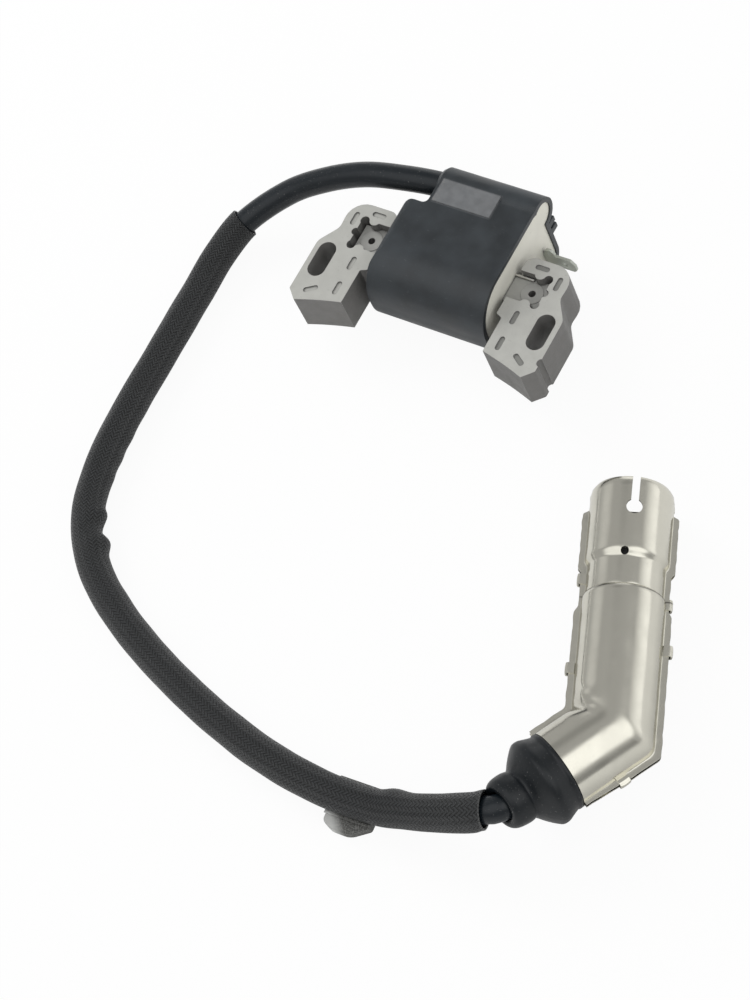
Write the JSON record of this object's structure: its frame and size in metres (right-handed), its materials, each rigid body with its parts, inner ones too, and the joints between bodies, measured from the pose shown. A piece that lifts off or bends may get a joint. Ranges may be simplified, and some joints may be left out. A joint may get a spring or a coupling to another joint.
{
  "type": "small-engine ignition coil",
  "caption": "Small-engine ignition coil with laminated legs, potted housing, braided plug lead and a shielded elbow plug cap that swivels on the lead.",
  "frame": {"origin": "middle of the coil's footprint on the surface it lies on, without the lead and cap", "axes": "+X from the left leg to the right leg, +Y from the flywheel side to the lead tower, +Z along the mounting screws, out of the side that faces up in the picture"},
  "size_m": [0.1888, 0.1739, 0.0267],
  "materials": {
    "lamination_steel": "stacked electrical steel, dull warm grey",
    "housing_plastic": "moulded charcoal plastic, satin",
    "potting_resin": "cast cream epoxy, matt",
    "bobbin_plastic": "moulded natural plastic",
    "copper": "enamelled copper wire",
    "board_laminate": "green glass-epoxy laminate",
    "component_black": "black moulded component case",
    "resistor_ceramic": "tan coated resistor",
    "terminal_tin": "tinned sheet, dull",
    "wire_tin": "tinned copper wire, bright",
    "brass": "turned brass",
    "lead_rubber": "smooth black ignition-lead jacket, satin",
    "sleeve_braid": "black woven glass-fibre sleeve",
    "clip_zinc": "zinc-plated sheet, satin",
    "shield_nickel": "pressed sheet, nickel plated, warm silver",
    "cap_phenolic": "black moulded phenolic",
    "grommet_rubber": "black moulded rubber",
    "suppressor_ceramic": "fired ceramic rod",
    "spring_steel": "spring wire"
  },
  "bodies": {
    "coil": {"left_leg": "lamination_steel", "right_leg": "lamination_steel", "core_bar": "lamination_steel", "housing": "housing_plastic", "potting": "potting_resin", "primary_bobbin": "bobbin_plastic", "primary_winding": "copper", "secondary_bobbin": "bobbin_plastic", "secondary_winding": "copper", "trigger_board": "board_laminate", "switch_transistor": "component_black", "trigger_chip": "component_black", "board_resistors": "resistor_ceramic", "primary_leads": "copper", "kill_terminal": "terminal_tin", "ground_wire": "wire_tin", "hv_pin": "brass", "hv_wire": "copper", "lead_jacket": "lead_rubber", "lead_core": "copper", "lead_sleeve": "sleeve_braid", "lead_clip": "clip_zinc"},
    "plug_cap": {"upper_shell": "shield_nickel", "lower_shell": "shield_nickel", "cap_body": "cap_phenolic", "grommet": "grommet_rubber", "lead_screw": "brass", "suppressor": "suppressor_ceramic", "contact_spring": "spring_steel", "plug_terminal": "brass"}
  },
  "joints": [
    {"name": "cap_swivel", "type": "hinge", "parent": "coil", "child": "plug_cap", "pos_m": [0.0991, -0.1014, 0.0102], "axis": [0.4322, 0.8891, -0.1505], "range_deg": [0, 160]}
  ]
}
